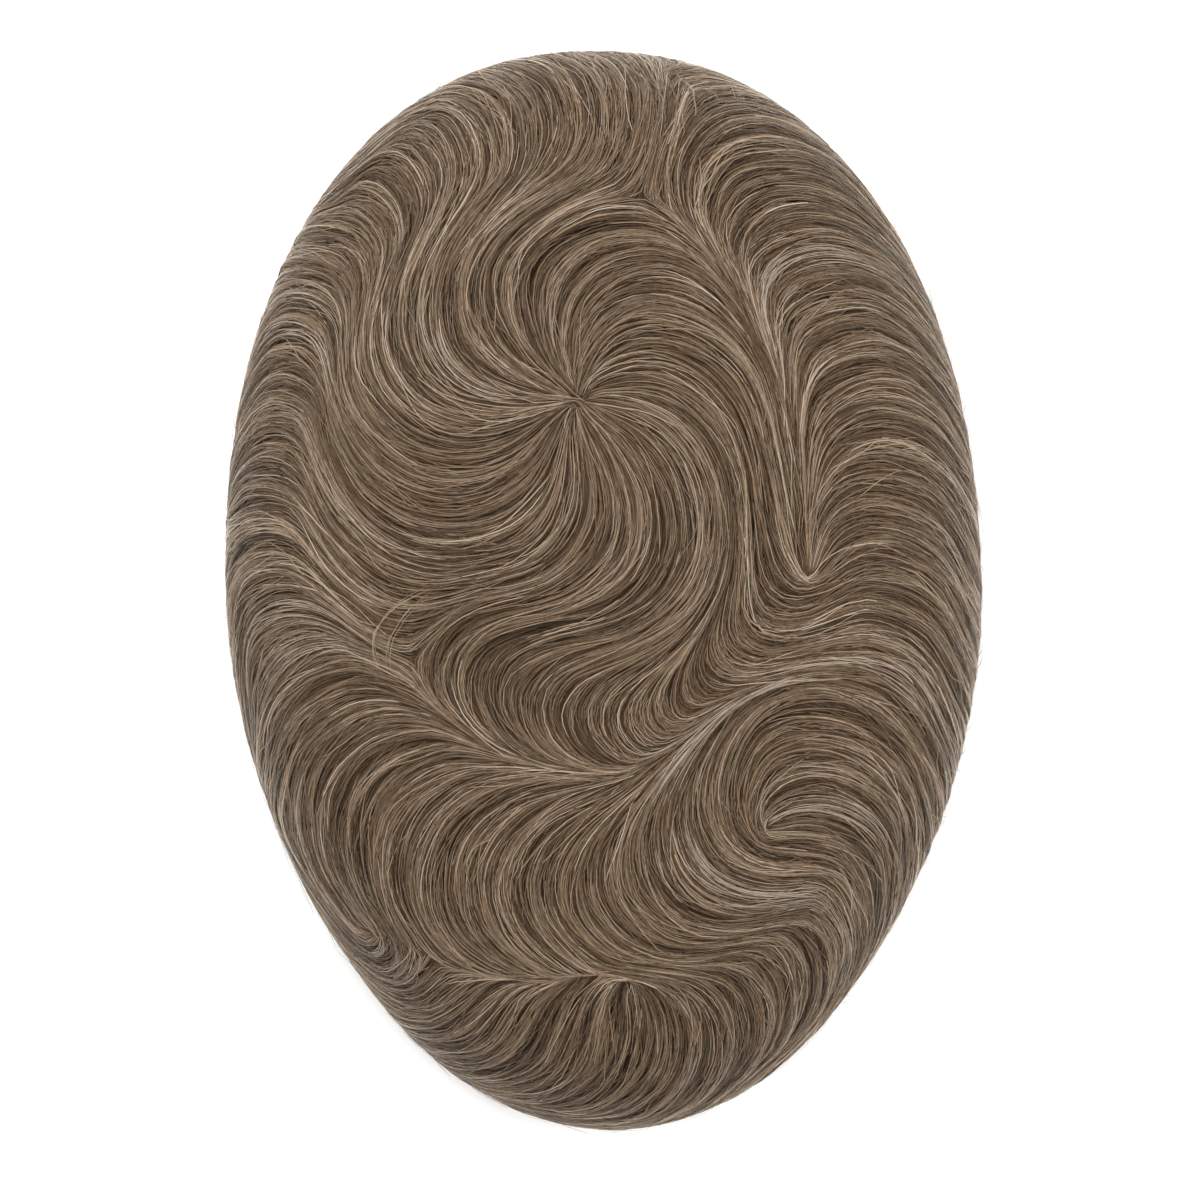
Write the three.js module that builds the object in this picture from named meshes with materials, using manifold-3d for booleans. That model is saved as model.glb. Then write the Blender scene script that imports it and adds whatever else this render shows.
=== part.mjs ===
// A toupee: a thin domed base cap under a deep layer of wavy hair, resting on a flat surface.
// Millimetres, +Z up, +Y towards the back of the head. The origin lies on the surface, under the
// middle of the hair.

import * as THREE from 'three';
import { mergeVertices } from 'three/addons/utils/BufferGeometryUtils.js';
import Module from 'manifold-3d';

const wasm = await Module();
wasm.setup();

// Base cap
const BASE_WIDTH = 150;
const BASE_LENGTH = 205;
const BASE_HEIGHT = 54;
const BASE_WALL = 1.5;
const BASE_CLEARANCE = 0.3; // between the base cap and the underside of the hair

// Hair, as it lies over the base cap
const SIDE_FULLNESS = 10; // how far the hair stands out past the base cap on each side
const END_FULLNESS = 18; // the same at the back and at the front
const TOP_FULLNESS = 18; // the same above it
const WIDEST_LEVEL = 15; // height of the widest line above the surface
const HAIR_TUCK = 1.5; // how far the lowest ends turn in under the widest line

// Powers of the curves, where 2 gives an ellipse and more gives a fuller curve
const BACK_POWER = 2.2;
const FRONT_POWER = 1.85;
const SIDE_VIEW_POWER = 2.2;

// Locks
const LOCK_WIDTH = 15; // widest that one lock gets
const LOCK_RISE = 3; // height of a lock on a ridge above the backing
const EDGE_RISE = 1; // the same where a lock crosses the widest line
const LOCK_SINK = 2; // depth of its edges below the backing's surface
const WAVE_DEPTH = 1.5; // how much lower a lock lies between two ridges

// Facets
const FACETS_AROUND = 32;
const FACETS_DOWN = 7;
const FACETS_SKIRT = 2;
const FACETS_LOCK = 7;

// The hair below the widest line, as a share of the way from the crown to that line
const SKIRT = 0.13;

// Guide locks of each wave band. A row is one lock from root to tip, and its columns are the root,
// the rise, the crest, the fall and the tip, each as [share of half the width, share of half the
// length] in plan. A share beyond the outline runs down the skirt. Locks between two rows blend them.
const BANDS = {
  crown: {
    locks: 15,
    closed: true,
    rows: [
      [[-0.17, 0.37], [-0.35, 0.42], [-0.43, 0.54], [-0.43, 0.63], [-0.31, 0.69]],
      [[-0.13, 0.41], [-0.23, 0.52], [-0.24, 0.62], [-0.13, 0.68], [0.04, 0.70]],
      [[-0.09, 0.42], [-0.10, 0.54], [0.02, 0.63], [0.20, 0.62], [0.38, 0.52]],
      [[-0.05, 0.41], [0.03, 0.53], [0.23, 0.54], [0.41, 0.41], [0.49, 0.17]],
      [[-0.02, 0.38], [0.11, 0.42], [0.27, 0.38], [0.38, 0.21], [0.36, 0.00]],
      [[0.00, 0.35], [0.17, 0.33], [0.31, 0.20], [0.28, 0.00], [0.02, -0.11]],
      [[-0.01, 0.31], [0.12, 0.18], [0.10, 0.02], [-0.11, -0.05], [-0.40, -0.08]],
      [[-0.07, 0.28], [-0.07, 0.13], [-0.22, 0.02], [-0.48, 0.00], [-0.67, 0.07]],
      [[-0.13, 0.29], [-0.24, 0.18], [-0.45, 0.14], [-0.63, 0.21], [-0.70, 0.33]],
      [[-0.15, 0.33], [-0.32, 0.29], [-0.52, 0.31], [-0.63, 0.42], [-0.60, 0.54]],
    ],
  },
  back: {
    locks: 4,
    rows: [
      [[-0.35, 0.68], [-0.13, 0.76], [0.00, 0.84], [-0.04, 0.94], [-0.29, 1.07]],
      [[-0.11, 0.71], [0.06, 0.78], [0.11, 0.87], [0.10, 0.94], [-0.01, 1.12]],
      [[0.29, 0.62], [0.19, 0.72], [0.17, 0.82], [0.17, 0.90], [0.18, 1.10]],
    ],
  },
  left: {
    locks: 8,
    rows: [
      [[-0.35, 0.68], [-0.23, 0.81], [-0.31, 0.91], [-0.43, 0.91], [-0.63, 0.93]],
      [[-0.57, 0.56], [-0.53, 0.65], [-0.60, 0.71], [-0.69, 0.71], [-0.90, 0.70]],
      [[-0.70, 0.35], [-0.71, 0.41], [-0.76, 0.44], [-0.83, 0.44], [-1.04, 0.39]],
      [[-0.73, 0.09], [-0.76, 0.14], [-0.83, 0.17], [-0.91, 0.17], [-1.11, 0.07]],
      [[-0.66, -0.05], [-0.74, -0.02], [-0.84, -0.02], [-0.92, -0.05], [-1.10, -0.19]],
    ],
  },
  right: {
    locks: 10,
    rows: [
      [[0.18, 0.85], [0.21, 0.89], [0.30, 0.91], [0.42, 0.90], [0.62, 0.94]],
      [[0.32, 0.65], [0.34, 0.71], [0.49, 0.74], [0.66, 0.71], [0.93, 0.65]],
      [[0.43, 0.46], [0.47, 0.54], [0.63, 0.57], [0.80, 0.53], [1.06, 0.36]],
      [[0.53, 0.25], [0.56, 0.33], [0.72, 0.37], [0.88, 0.31], [1.11, 0.11]],
      [[0.55, -0.01], [0.60, 0.04], [0.73, 0.07], [0.89, 0.02], [1.10, -0.21]],
    ],
  },
  rightFront: {
    locks: 8,
    rows: [
      [[0.49, -0.11], [0.62, -0.08], [0.77, -0.10], [0.89, -0.20], [1.01, -0.44]],
      [[0.34, -0.27], [0.46, -0.21], [0.67, -0.20], [0.81, -0.29], [0.92, -0.60]],
      [[0.41, -0.42], [0.50, -0.38], [0.64, -0.38], [0.77, -0.48], [0.81, -0.74]],
      [[0.32, -0.52], [0.45, -0.54], [0.60, -0.54], [0.67, -0.64], [0.66, -0.89]],
      [[0.16, -0.64], [0.33, -0.64], [0.47, -0.66], [0.51, -0.75], [0.42, -1.02]],
    ],
  },
  front: {
    locks: 6,
    rows: [
      [[0.13, -0.71], [0.23, -0.76], [0.25, -0.84], [0.19, -0.92], [0.06, -1.12]],
      [[-0.01, -0.73], [-0.02, -0.81], [-0.06, -0.89], [-0.15, -0.94], [-0.33, -1.06]],
      [[-0.27, -0.73], [-0.30, -0.78], [-0.34, -0.82], [-0.41, -0.84], [-0.58, -0.95]],
      [[-0.49, -0.69], [-0.52, -0.73], [-0.57, -0.74], [-0.63, -0.72], [-0.78, -0.79]],
    ],
  },
  leftFront: {
    locks: 7,
    rows: [
      [[-0.66, -0.09], [-0.79, -0.09], [-0.89, -0.13], [-0.94, -0.21], [-1.03, -0.42]],
      [[-0.47, -0.20], [-0.66, -0.21], [-0.82, -0.27], [-0.88, -0.39], [-0.90, -0.63]],
      [[-0.24, -0.32], [-0.47, -0.33], [-0.66, -0.42], [-0.67, -0.54], [-0.56, -0.67]],
      [[-0.01, -0.35], [-0.27, -0.41], [-0.43, -0.52], [-0.40, -0.64], [-0.19, -0.71]],
      [[0.13, -0.38], [-0.01, -0.44], [-0.09, -0.55], [-0.01, -0.65], [0.17, -0.67]],
      [[0.32, -0.25], [0.25, -0.35], [0.26, -0.48], [0.36, -0.53], [0.50, -0.53]],
    ],
  },
  inner: {
    locks: 8,
    rows: [
      [[-0.45, -0.04], [-0.51, -0.10], [-0.51, -0.17], [-0.46, -0.24], [-0.36, -0.28]],
      [[-0.01, -0.04], [-0.27, -0.05], [-0.43, -0.12], [-0.39, -0.25], [-0.19, -0.33]],
      [[0.15, -0.09], [-0.09, -0.13], [-0.20, -0.20], [-0.14, -0.29], [0.04, -0.33]],
      [[0.16, -0.16], [0.06, -0.20], [0.07, -0.26], [0.12, -0.28], [0.20, -0.28]],
      [[0.23, -0.12], [0.20, -0.17], [0.23, -0.21], [0.28, -0.22], [0.34, -0.20]],
      [[0.36, 0.00], [0.36, -0.05], [0.40, -0.09], [0.45, -0.11], [0.51, -0.09]],
      [[0.43, 0.20], [0.44, 0.14], [0.47, 0.09], [0.50, 0.07], [0.53, 0.04]],
    ],
  },
};

// Domes, each given by its size at the widest line and the height of that line
function dome(width, length, height, level, tuck) {
  return { halfWidth: width / 2, halfLength: length / 2, height, level, tuck };
}

function grown(form, amount) {
  const { halfWidth, halfLength, height, level, tuck } = form;
  return dome(2 * (halfWidth + amount), 2 * (halfLength + amount), height + amount, level, tuck);
}

const hairWidth = BASE_WIDTH + 2 * SIDE_FULLNESS;
const hairLength = BASE_LENGTH + 2 * END_FULLNESS;
const hairHeight = BASE_HEIGHT + TOP_FULLNESS;
const backingDome = dome(
  hairWidth - 2 * EDGE_RISE,
  hairLength - 2 * EDGE_RISE,
  hairHeight - LOCK_RISE,
  WIDEST_LEVEL,
  HAIR_TUCK,
);
const baseDome = dome(BASE_WIDTH, BASE_LENGTH, BASE_HEIGHT, 0, 0);

// Distance from the middle to the plan outline, egg-shaped: fuller at the back than at the front
function outlineReach(form, angle) {
  const power = Math.sin(angle) > 0 ? BACK_POWER : FRONT_POWER;
  const across = Math.abs(Math.cos(angle)) / form.halfWidth;
  const along = Math.abs(Math.sin(angle)) / form.halfLength;
  return (across ** power + along ** power) ** (-1 / power);
}

// A point of a dome. The fall is 0 at the crown, 1 at the widest line and 1 + SKIRT at the surface.
function domePoint(form, angle, fall) {
  const reach = outlineReach(form, angle);
  const slope = Math.min(fall, 1) * Math.PI / 2;
  const below = Math.max(fall - 1, 0) / SKIRT;
  const spread = Math.abs(Math.sin(slope)) ** (2 / SIDE_VIEW_POWER) * reach - form.tuck * below ** 2;
  const rise = Math.abs(Math.cos(slope)) ** (2 / SIDE_VIEW_POWER) * (form.height - form.level);
  const height = fall > 1 ? form.level * (1 - below) : form.level + rise;
  return new THREE.Vector3(spread * Math.cos(angle), spread * Math.sin(angle), height);
}

// A closed wall between an outer and an inner dome, joined by a flat ring at the foot
function domeWall(outer, outerFalls, inner, innerFalls) {
  const rings = [
    ...outerFalls.map((fall) => [outer, fall]),
    ...innerFalls.toReversed().map((fall) => [inner, fall]),
  ];
  const corner = [domePoint(outer, 0, 0)];
  for (const [form, fall] of rings) {
    for (let i = 0; i < FACETS_AROUND; i += 1) {
      corner.push(domePoint(form, (i / FACETS_AROUND) * 2 * Math.PI, fall));
    }
  }
  corner.push(domePoint(inner, 0, 0));
  const last = corner.length - 1;
  const faces = [];
  for (let i = 0; i < FACETS_AROUND; i += 1) {
    const next = (i + 1) % FACETS_AROUND;
    const foot = 1 + (rings.length - 1) * FACETS_AROUND;
    faces.push(0, 1 + i, 1 + next);
    for (let ring = 0; ring < rings.length - 1; ring += 1) {
      const upper = 1 + ring * FACETS_AROUND;
      const lower = upper + FACETS_AROUND;
      faces.push(upper + i, lower + i, lower + next);
      faces.push(upper + i, lower + next, upper + next);
    }
    faces.push(foot + i, last, foot + next);
  }
  return indexedGeometry(corner, faces);
}

function indexedGeometry(points, faces) {
  const geometry = new THREE.BufferGeometry();
  geometry.setFromPoints(points);
  geometry.setIndex(faces);
  return geometry;
}

function evenShares(count) {
  return Array.from({ length: count }, (_, i) => (i + 1) / count);
}

// A plan point of a guide row, laid out flat so that equal steps are about equal on the dome
function flatPoint([shareX, shareY]) {
  const x = shareX * backingDome.halfWidth;
  const y = shareY * backingDome.halfLength;
  const angle = Math.atan2(y, x);
  const share = Math.hypot(x, y) / outlineReach(backingDome, angle);
  const inside = Math.asin(Math.min(share, 1) ** (SIDE_VIEW_POWER / 2)) * 2 / Math.PI;
  const fall = inside + Math.max(share - 1, 0);
  return new THREE.Vector3(fall * Math.cos(angle), fall * Math.sin(angle), 0);
}

// The path of a lock that lies at a place between the rows of its band
function lockPath(band, place) {
  const columns = band.rows[0].map((_, column) => {
    const across = band.rows.map((row) => flatPoint(row[column]));
    return new THREE.CatmullRomCurve3(across, Boolean(band.closed)).getPoint(place);
  });
  return new THREE.CatmullRomCurve3(columns);
}

function lockPlaces(band) {
  const steps = band.closed ? band.locks : band.locks - 1;
  return Array.from({ length: band.locks }, (_, i) => i / steps);
}

function onBacking(flat) {
  return domePoint(backingDome, Math.atan2(flat.y, flat.x), Math.min(flat.length(), 1 + SKIRT));
}

// The backing's outward direction at a flat point
function outward(flat) {
  const step = 0.01;
  const middle = onBacking(flat);
  const east = onBacking(flat.clone().add(new THREE.Vector3(step, 0, 0))).sub(middle);
  const north = onBacking(flat.clone().add(new THREE.Vector3(0, step, 0))).sub(middle);
  return east.cross(north).normalize();
}

// The distance on the backing from a lock to the one beside it, at one place along both
function lockSpacing(band, place, along) {
  const beside = 1 / lockPlaces(band).length;
  const other = place + beside > 1 ? place - beside : place + beside;
  const here = onBacking(lockPath(band, place).getPoint(along));
  return here.distanceTo(onBacking(lockPath(band, other).getPoint(along)));
}

// A tapered lock, domed in section, with its edges and both ends under the backing's surface
function lockGeometry(band, place) {
  const path = lockPath(band, place);
  const section = [[-0.5, -1, 0], [-0.22, 0, 1], [0.22, 0, 1], [0.5, -1, 0]];
  const points = [];
  for (let step = 0; step <= FACETS_LOCK; step += 1) {
    const along = step / FACETS_LOCK;
    const taper = Math.sin(Math.PI * (0.08 + 0.84 * along)) ** 0.6;
    const flat = path.getPoint(along);
    const up = outward(flat);
    const ahead = onBacking(path.getPoint(Math.min(along + 0.01, 1)));
    const forward = ahead.sub(onBacking(path.getPoint(Math.min(along + 0.01, 1) - 0.01)));
    const side = up.clone().cross(forward).normalize();
    const width = Math.min(LOCK_WIDTH, lockSpacing(band, place, along)) * taper;
    const rise = (LOCK_RISE - WAVE_DEPTH * Math.sin(Math.PI * along)) * taper;
    for (const [across, sink, lift] of section) {
      const corner = onBacking(flat);
      corner.addScaledVector(side, across * width);
      corner.addScaledVector(up, sink * LOCK_SINK + lift * rise);
      points.push(corner);
    }
  }
  return indexedGeometry(points, tubeFaces(section.length, FACETS_LOCK));
}

// Faces of a tube of equal sections, with a fan on each end
function tubeFaces(sides, steps) {
  const faces = [];
  for (let step = 0; step < steps; step += 1) {
    for (let i = 0; i < sides; i += 1) {
      const near = step * sides;
      const far = near + sides;
      const next = (i + 1) % sides;
      faces.push(near + i, far + i, far + next);
      faces.push(near + i, far + next, near + next);
    }
  }
  for (let i = 1; i < sides - 1; i += 1) {
    faces.push(0, i, i + 1);
    faces.push(steps * sides, steps * sides + i + 1, steps * sides + i);
  }
  return faces;
}

// A geometry as a solid that can be joined and cut
function solid(geometry) {
  const bare = geometry.clone();
  bare.deleteAttribute('normal');
  bare.deleteAttribute('uv');
  const merged = mergeVertices(bare);
  const vertProperties = Float32Array.from(merged.attributes.position.array);
  const triVerts = Uint32Array.from(merged.index.array);
  return new wasm.Manifold(new wasm.Mesh({ numProp: 3, vertProperties, triVerts }));
}

function solidGeometry(body) {
  const { vertProperties, triVerts } = body.getMesh();
  const geometry = new THREE.BufferGeometry();
  geometry.setAttribute('position', new THREE.BufferAttribute(vertProperties, 3));
  geometry.setIndex(new THREE.BufferAttribute(triVerts, 1));
  return geometry;
}

function baseCap() {
  const falls = evenShares(FACETS_DOWN);
  return domeWall(baseDome, falls, grown(baseDome, -BASE_WALL), falls);
}

function hair() {
  const skirt = evenShares(FACETS_SKIRT).map((share) => 1 + share * SKIRT);
  const outerFalls = [...evenShares(FACETS_DOWN), ...skirt];
  const underside = grown(baseDome, BASE_CLEARANCE);
  let body = solid(domeWall(backingDome, outerFalls, underside, evenShares(FACETS_DOWN)));
  for (const band of Object.values(BANDS)) {
    for (const place of lockPlaces(band)) {
      body = body.add(solid(lockGeometry(band, place)));
    }
  }
  const below = new THREE.BoxGeometry(2 * hairWidth, 2 * hairLength, hairHeight);
  below.translate(0, 0, -hairHeight / 2);
  return solidGeometry(body.subtract(solid(below)));
}

function part(name, geometry, color, roughness) {
  const material = new THREE.MeshStandardMaterial({ color, roughness, metalness: 0 });
  const mesh = new THREE.Mesh(geometry, material);
  mesh.name = name;
  return mesh;
}

const toupee = new THREE.Group();
toupee.add(part('base_cap', baseCap(), 0xb09880, 0.8));
toupee.add(part('hair', hair(), 0x84725e, 0.55));

export default toupee;
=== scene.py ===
"""The looks of the toupee hairpiece: a combed body of hair, its strands and the cap's cloth."""
import math

import bpy
import numpy as np
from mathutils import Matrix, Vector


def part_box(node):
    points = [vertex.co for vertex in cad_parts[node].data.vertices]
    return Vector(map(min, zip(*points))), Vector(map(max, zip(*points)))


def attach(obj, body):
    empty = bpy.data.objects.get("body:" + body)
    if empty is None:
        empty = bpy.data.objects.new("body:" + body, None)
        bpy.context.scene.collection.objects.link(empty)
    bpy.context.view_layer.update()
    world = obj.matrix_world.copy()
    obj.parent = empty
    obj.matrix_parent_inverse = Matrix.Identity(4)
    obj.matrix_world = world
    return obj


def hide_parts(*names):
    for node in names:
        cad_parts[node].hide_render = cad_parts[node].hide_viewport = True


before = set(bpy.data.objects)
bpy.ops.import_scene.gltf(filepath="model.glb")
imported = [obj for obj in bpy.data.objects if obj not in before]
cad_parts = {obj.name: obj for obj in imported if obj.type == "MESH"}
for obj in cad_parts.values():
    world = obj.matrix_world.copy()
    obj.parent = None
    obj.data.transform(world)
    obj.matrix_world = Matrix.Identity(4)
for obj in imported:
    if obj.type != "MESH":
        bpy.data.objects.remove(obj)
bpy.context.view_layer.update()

# Sizes, in metres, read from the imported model
MM = 0.001
hair_low, hair_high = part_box("hair")
cap_low, cap_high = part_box("base_cap")
EDGE_LIFT = 1.0 * MM
TOP_LIFT = 2.6 * MM
HALVES = np.array([hair_high.x - hair_low.x, hair_high.y - hair_low.y]) / 2 - EDGE_LIFT
TOP = hair_high.z - TOP_LIFT
WIDEST = hair_high.z * 15 / 72
CAP_HALVES = np.array([cap_high.x - cap_low.x, cap_high.y - cap_low.y]) / 2
CAP_TOP = cap_high.z
CAP_GAP = 0.3 * MM

# Form of the hair: the powers of its outline and of its side view
BACK_POWER = 2.2
FRONT_POWER = 1.85
FRONT_BLUNT = 0.07
FRONT_FROM = 0.5
FRONT_BLEND = 0.2
SIDE_POWER = 2.2
TUCK = 0.018
LEAN = 2.0 * MM
RIM_FALL = 1.13

# The camera of the photo, straight above
LENS = 150.0
SENSOR = 36.0
PHOTO_WIDTH = 0.2667
CAMERA_RISE = PHOTO_WIDTH * LENS / SENSOR
CAMERA_PLACE = (-0.8 * MM, -2.1 * MM)

# The middle and the half width and half length of the hair in the photo, and the distance from a
# straight line within which a charted point is left out, all in pixels
PHOTO_MIDDLE = np.array([603.5, 590.5])
PHOTO_HALVES = np.array([383.5, 542.5])
THIN_GAP = 4.0

# Strands. Lengths are in steps along the surface, and a sway is in degrees
SEED = 11
STRANDS = 43500
STEP = 1.0 * MM
REACH_STEPS = 36
LEAST_STEPS = 8
RINGS = 11
ALONG = np.linspace(-1, 1, RINGS)
STRAND_WIDTH = 0.165 * MM
LENGTH = 26
LENGTH_SPREAD = 22
SWAY = 3.0
WAVE = (0.08, 0.16)
STRAY_SHARE = 0.10
STRAY_SWAY = 5.0
END_DIP = 0.9 * MM
STRIP_TILT = np.radians(35)

# Loose hairs, light streaks and stray hairs
LOOSE = 2200
LOOSE_LEAST_STEPS = 6
LOOSE_WIDTH = 0.10 * MM
LOOSE_LENGTH = 24
LOOSE_LENGTH_SPREAD = 14
LOOSE_SWAY = 13
LOOSE_WAVE = (0.05, 0.10)
LOOSE_START = 0.5 * MM
LOOSE_STAND = 1.6 * MM
WISP_FROM = 0.86
WISP_LENGTH = 12
WISP_STAND = 1.3 * MM
LIGHT_GROUP = 12
LIGHT_SPREAD = 0.9 * MM
LIGHT_WIDTH = 0.13 * MM
LIGHT_LENGTH = 20
LIGHT_LENGTH_SPREAD = 20
LIGHT_SWAY = 2.0
LIGHT_WAVE = (0.08, 0.10)
FLY_GROUP = 3
FLY_SPREAD = 0.45 * MM
FLY_WIDTH = 0.12 * MM
FLY_RISE = 1.0 * MM

# The whorl, in percent of half the hair's width and length, and the turns of a strand
WHORL = (-7.0, 35.5)
WHORL_GAP = 0.3 * MM
SHARP_TURN = math.cos(math.radians(32))
TURN_COST = 3.0

# Tones of the hair, from 0 for the darkest to 1 for the lightest, with its painted shade and light, and
# where its painted rim light starts
TONE = 0.350
TONE_SPREAD = 0.17
TONE_RANGE = (0.06, 0.74)
STRAY_TONE = 0.08
# Painted shade deep in the pile: strands lying lower under the others are painted darker
LAYER_PAINTED_SHADE = 0.05
# Painted shade and light that follow the relief: darker in the hollows between clumps and ribs, lighter on
# their raised parts
CLUMP_PAINTED_SHADE = 0.03
RIB_PAINTED_SHADE = 0.08
# Painted light along the raised ridges, where strands catch the light, and painted shade away from them
RIDGE_PAINTED_LIGHT = 0.05
RIDGE_EVEN = 0.3
LOOSE_TONE = 0.48
LOOSE_TONE_SPREAD = 0.12
LIGHT_TONE = 0.72
LIGHT_TONE_SPREAD = 0.08
FLY_TONE = 0.64
BODY_TONE = 0.42
# The body's painted shade and light that follow the relief: darker in the hollows between clumps and ribs,
# lighter on their raised parts
BODY_CLUMP_PAINTED_SHADE = 0.16
BODY_RIB_PAINTED_SHADE = 0.1
BODY_RIM_PAINTED_LIGHT = 1.4
BODY_HUE = 0.4
HOLLOW_TONE = 0.2
# Painted rim light: the hair is painted lighter towards the rim, for light shining through its thin edge
RIM_START = 0.775
RIM_SLOPE = 1.6
RIM_PAINTED_LIGHT = 0.20

# Relief of the hair
RIDGE_RISE = 1.6 * MM
RIDGE_DROP = 0.4
RELIEF_END = 0.98
RELIEF_FADE = 0.16
RELIEF_LEAST = 0.05
RIDGE_WIDTH = 5.0 * MM
RIB_RISE = 0.45 * MM
RIB_WIDTH = 3.0 * MM
RIB_LENGTH = 56 * MM
CLUMP_RISE = 0.35 * MM
CLUMP_WIDTH = 1.8 * MM
CLUMP_LENGTH = 30 * MM
GATHER_REACH = 0.4 * MM
GATHER_MOST = 0.3 * MM
GATHER_AT_ENDS = 0.3
PILE_DEPTH = 1.5 * MM
PILE_END = 1.04
PILE_FADE = 0.2
PILE_LEAST = 0.25
BODY_SINK = 0.9 * MM
BODY_GRID = 181
BODY_RINGS = 9

# The direction field and its grids
FIELD_CELL = 1.5 * MM
CLUMP_CELL = 0.6 * MM
FIELD_SOFTNESS = 2.0 * MM
FIELD_BLUR = 3
BAND_BLUR = 7
SPOTS_AT_ONCE = 2000
GUIDE_SPACING = 2.5 * MM
RIDGE_PULL = 0.04
WHORL_SPREAD = 3.5 * MM

# Painted light and shade by band: how much lighter or darker each band of hair is painted than the whole,
# darkest at the front and the inner waves
BAND_PAINTED_LIGHT_AND_SHADE = {"left": 0.01, "back": -0.005, "crown_left": 0.005, "crown_right": 0.01, "inner": -0.045,
              "right_back": -0.015, "right": -0.015, "right_front": -0.025, "left_front": -0.01,
              "front": -0.065, "ridges": 0.0}
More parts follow.
